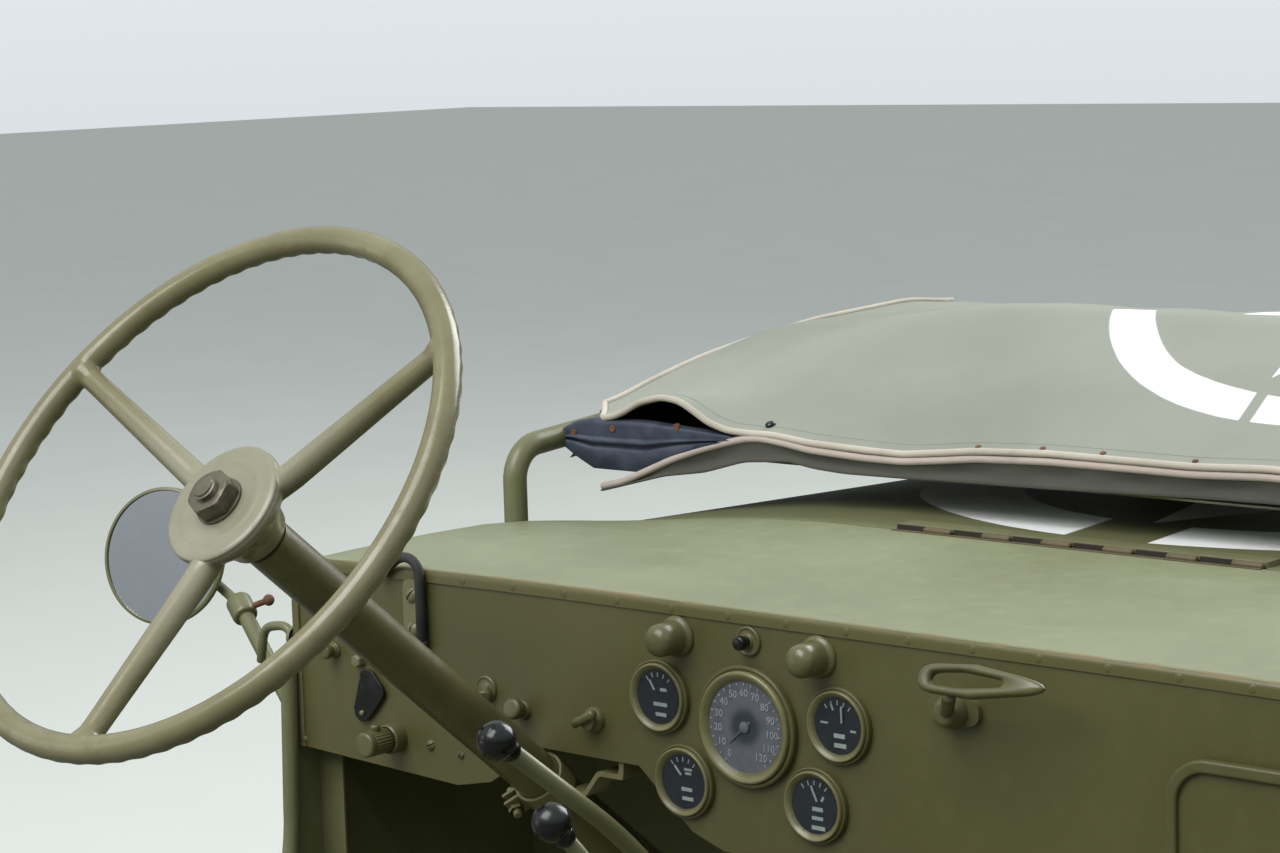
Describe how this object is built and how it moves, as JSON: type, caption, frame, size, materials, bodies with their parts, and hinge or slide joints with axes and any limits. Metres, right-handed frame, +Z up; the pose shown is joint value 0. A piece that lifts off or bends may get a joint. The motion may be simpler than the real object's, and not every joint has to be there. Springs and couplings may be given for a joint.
{
  "type": "front body section of an army 4x4 car",
  "caption": "Scuttle with dashboard, bonnet, front floor, steering gear, levers, mirror and a folding windscreen in its canvas cover, from an open army field car.",
  "frame": {"origin": "centre of the four body bolts, on the mounting face under the floor channels, straight below the dashboard's face", "axes": "+X to the car's right, +Y forward towards the nose, +Z up"},
  "size_m": [1.4881, 1.6938, 0.9515],
  "materials": {
    "olive_paint": "worn satin enamel",
    "dash_paint": "dull satin enamel",
    "wheel_paint": "polished by hands",
    "canvas": "faded cotton duck",
    "black_rubber": "aged",
    "gauge_black": "semi-gloss",
    "knob_black": "gloss",
    "clear_glass": "clear",
    "mirror_face": "silvered",
    "bare_steel": "worn",
    "cast_housing": "painted casting",
    "oiled_wood": "painted and worn"
  },
  "bodies": {
    "scuttle": {"scuttle_top": "olive_paint", "dash_panel": "dash_paint", "bulkhead": "olive_paint", "side_panel_left": "olive_paint", "side_panel_right": "olive_paint", "toe_board": "olive_paint", "front_floor": "olive_paint", "tunnel_cover": "olive_paint", "floor_channels": "olive_paint", "bonnet": "olive_paint", "bonnet_hinge": "olive_paint", "bonnet_rest_blocks": "oiled_wood", "windscreen_bracket_left": "olive_paint", "windscreen_bracket_right": "olive_paint", "windscreen_catches": "olive_paint", "speedometer": "gauge_black", "small_gauges": "gauge_black", "gauge_glasses": "clear_glass", "panel_lamps": "dash_paint", "pull_knobs": "knob_black", "light_switch": "knob_black", "ignition_switch": "bare_steel", "lever_plate": "dash_paint", "handbrake_handle": "dash_paint", "glovebox_shell": "dash_paint", "lid_hinges": "dash_paint", "column_bracket": "dash_paint", "steering_column": "wheel_paint", "steering_box": "cast_housing", "gear_lever": "knob_black", "transfer_levers": "knob_black", "lever_boots": "black_rubber", "mirror_arm": "olive_paint", "mirror_head": "olive_paint", "mirror_glass": "mirror_face", "rope_hook": "olive_paint"},
    "steering_wheel": {"steering_wheel": "wheel_paint", "wheel_hub": "wheel_paint", "hub_nut": "bare_steel"},
    "drop_arm": {"drop_arm": "cast_housing"},
    "windscreen": {"windscreen_frame": "olive_paint", "windscreen_inner_frame": "olive_paint", "windscreen_glass": "clear_glass", "windscreen_seal": "black_rubber", "windscreen_cover": "canvas"},
    "glovebox_lid": {"glovebox_lid": "dash_paint"}
  },
  "joints": [
    {"name": "steering", "type": "hinge", "parent": "scuttle", "child": "steering_wheel", "pos_m": [-0.304, -0.3395, 0.7123], "axis": [0, -0.766, 0.6428], "range_deg": [-540, 540]},
    {"name": "drop_arm_swing", "type": "hinge", "parent": "scuttle", "child": "drop_arm", "pos_m": [-0.366, 0.32549, 0.09687], "axis": [1, 0, 0], "range_deg": [-39, 39]},
    {"name": "windscreen_fold", "type": "hinge", "parent": "scuttle", "child": "windscreen", "pos_m": [0, 0.225, 0.467], "axis": [1, 0, 0], "range_deg": [0, 90]},
    {"name": "glovebox_lid_hinge", "type": "hinge", "parent": "scuttle", "child": "glovebox_lid", "pos_m": [0.413, -0.006, 0.409], "axis": [1, 0, 0], "range_deg": [0, 90]}
  ],
  "couplings": [
    {"joint": "drop_arm_swing", "follows": "steering", "ratio": 0.071429}
  ]
}
